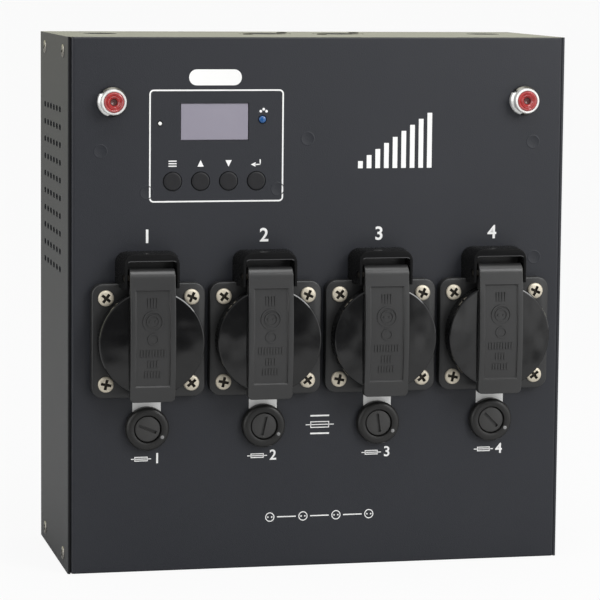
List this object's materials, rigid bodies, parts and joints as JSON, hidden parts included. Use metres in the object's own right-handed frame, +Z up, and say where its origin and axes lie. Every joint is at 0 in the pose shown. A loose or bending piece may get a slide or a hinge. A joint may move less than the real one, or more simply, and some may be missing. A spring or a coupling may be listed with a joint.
{
  "type": "dimmer pack",
  "caption": "Upright sheet-metal dimmer pack with lidded mains outlets, screw-cap fuses, pilot lamps, display, push buttons and signal connectors in its top.",
  "frame": {"origin": "middle of the base of the overall box, lids and screw heads included", "axes": "+Z up, -Y out of the front panel towards the user, +X to the right of someone who faces the front"},
  "size_m": [0.2284, 0.1076, 0.2365],
  "materials": {
    "cover_paint": "fine charcoal powder coat",
    "chassis_paint": "fine grey powder coat",
    "outlet_plastic": "moulded black, slight sheen",
    "lid_plastic": "moulded black, glossy disc",
    "bright_steel": "zinc plated",
    "fuse_plastic": "moulded black",
    "cap_plastic": "moulded black",
    "fuse_glass": "clear tube with nickel ends",
    "bezel_chrome": "polished",
    "red_lens": "clear red with moulded rings",
    "display_glass": "unlit grey-violet display",
    "circuit_board": "green solder mask",
    "blue_lens": "clear blue",
    "white_lens": "milky white",
    "button_plastic": "moulded black",
    "connector_plastic": "moulded black",
    "iron_core": "varnished",
    "terminal_plastic": "moulded green",
    "sink_aluminium": "extruded",
    "epoxy": "moulded black"
  },
  "bodies": {
    "case": {"front_cover": "cover_paint", "rear_chassis": "chassis_paint", "outlet_1": "outlet_plastic", "lid_pin_1": "bright_steel", "lid_spring_1": "bright_steel", "fuse_holder_1": "fuse_plastic", "power_switch_1": "epoxy", "outlet_2": "outlet_plastic", "lid_pin_2": "bright_steel", "lid_spring_2": "bright_steel", "fuse_holder_2": "fuse_plastic", "power_switch_2": "epoxy", "outlet_3": "outlet_plastic", "lid_pin_3": "bright_steel", "lid_spring_3": "bright_steel", "fuse_holder_3": "fuse_plastic", "power_switch_3": "epoxy", "outlet_4": "outlet_plastic", "lid_pin_4": "bright_steel", "lid_spring_4": "bright_steel", "fuse_holder_4": "fuse_plastic", "power_switch_4": "epoxy", "pilot_bezel_left": "bezel_chrome", "pilot_lens_left": "red_lens", "side_screw_left_1": "bright_steel", "side_screw_left_2": "bright_steel", "side_screw_left_3": "bright_steel", "side_screw_left_4": "bright_steel", "pilot_bezel_right": "bezel_chrome", "pilot_lens_right": "red_lens", "side_screw_right_1": "bright_steel", "side_screw_right_2": "bright_steel", "side_screw_right_3": "bright_steel", "side_screw_right_4": "bright_steel", "display_module": "display_glass", "control_board": "circuit_board", "signal_led": "blue_lens", "status_led": "white_lens", "signal_input": "connector_plastic", "signal_output": "connector_plastic", "power_board": "circuit_board", "supply_transformer": "iron_core", "terminal_block": "terminal_plastic", "heat_sink": "sink_aluminium"},
    "lid_1": {"outlet_lid_1": "lid_plastic"},
    "lid_2": {"outlet_lid_2": "lid_plastic"},
    "lid_3": {"outlet_lid_3": "lid_plastic"},
    "lid_4": {"outlet_lid_4": "lid_plastic"},
    "fuse_slide_1": {"fuse_1": "fuse_glass"},
    "fuse_turn_1": {"fuse_cap_1": "cap_plastic"},
    "fuse_slide_2": {"fuse_2": "fuse_glass"},
    "fuse_turn_2": {"fuse_cap_2": "cap_plastic"},
    "fuse_slide_3": {"fuse_3": "fuse_glass"},
    "fuse_turn_3": {"fuse_cap_3": "cap_plastic"},
    "fuse_slide_4": {"fuse_4": "fuse_glass"},
    "fuse_turn_4": {"fuse_cap_4": "cap_plastic"},
    "press_button_menu": {"button_menu": "button_plastic"},
    "press_button_up": {"button_up": "button_plastic"},
    "press_button_down": {"button_down": "button_plastic"},
    "press_button_enter": {"button_enter": "button_plastic"}
  },
  "joints": [
    {"name": "lid_1_hinge", "type": "hinge", "parent": "case", "child": "lid_1", "pos_m": [-0.0776, -0.04775, 0.1323], "axis": [-1, 0, 0], "range_deg": [0, 105], "stiffness_Nm_per_rad": 0.01, "springref_deg": -45.84},
    {"name": "lid_2_hinge", "type": "hinge", "parent": "case", "child": "lid_2", "pos_m": [-0.0252, -0.04775, 0.1323], "axis": [-1, 0, 0], "range_deg": [0, 105], "stiffness_Nm_per_rad": 0.01, "springref_deg": -45.84},
    {"name": "lid_3_hinge", "type": "hinge", "parent": "case", "child": "lid_3", "pos_m": [0.0272, -0.04775, 0.1323], "axis": [-1, 0, 0], "range_deg": [0, 105], "stiffness_Nm_per_rad": 0.01, "springref_deg": -45.84},
    {"name": "lid_4_hinge", "type": "hinge", "parent": "case", "child": "lid_4", "pos_m": [0.0796, -0.04775, 0.1323], "axis": [-1, 0, 0], "range_deg": [0, 105], "stiffness_Nm_per_rad": 0.01, "springref_deg": -45.84},
    {"name": "fuse_1_pull", "type": "slide", "parent": "case", "child": "fuse_slide_1", "axis": [0, -1, 0], "range_m": [0, 0.034]},
    {"name": "fuse_1_turn", "type": "hinge", "parent": "fuse_slide_1", "child": "fuse_turn_1", "pos_m": [-0.0776, -0.03935, 0.0644], "axis": [0, -1, 0], "range_deg": [0, 90]},
    {"name": "fuse_2_pull", "type": "slide", "parent": "case", "child": "fuse_slide_2", "axis": [0, -1, 0], "range_m": [0, 0.034]},
    {"name": "fuse_2_turn", "type": "hinge", "parent": "fuse_slide_2", "child": "fuse_turn_2", "pos_m": [-0.0252, -0.03935, 0.0644], "axis": [0, -1, 0], "range_deg": [0, 90]},
    {"name": "fuse_3_pull", "type": "slide", "parent": "case", "child": "fuse_slide_3", "axis": [0, -1, 0], "range_m": [0, 0.034]},
    {"name": "fuse_3_turn", "type": "hinge", "parent": "fuse_slide_3", "child": "fuse_turn_3", "pos_m": [0.0272, -0.03935, 0.0644], "axis": [0, -1, 0], "range_deg": [0, 90]},
    {"name": "fuse_4_pull", "type": "slide", "parent": "case", "child": "fuse_slide_4", "axis": [0, -1, 0], "range_m": [0, 0.034]},
    {"name": "fuse_4_turn", "type": "hinge", "parent": "fuse_slide_4", "child": "fuse_turn_4", "pos_m": [0.0796, -0.03935, 0.0644], "axis": [0, -1, 0], "range_deg": [0, 90]},
    {"name": "button_menu_press", "type": "slide", "parent": "case", "child": "press_button_menu", "axis": [0, 1, 0], "range_m": [0, 0.0008], "stiffness_N_per_m": 800, "springref_m": -0.0004},
    {"name": "button_up_press", "type": "slide", "parent": "case", "child": "press_button_up", "axis": [0, 1, 0], "range_m": [0, 0.0008], "stiffness_N_per_m": 800, "springref_m": -0.0004},
    {"name": "button_down_press", "type": "slide", "parent": "case", "child": "press_button_down", "axis": [0, 1, 0], "range_m": [0, 0.0008], "stiffness_N_per_m": 800, "springref_m": -0.0004},
    {"name": "button_enter_press", "type": "slide", "parent": "case", "child": "press_button_enter", "axis": [0, 1, 0], "range_m": [0, 0.0008], "stiffness_N_per_m": 800, "springref_m": -0.0004}
  ]
}
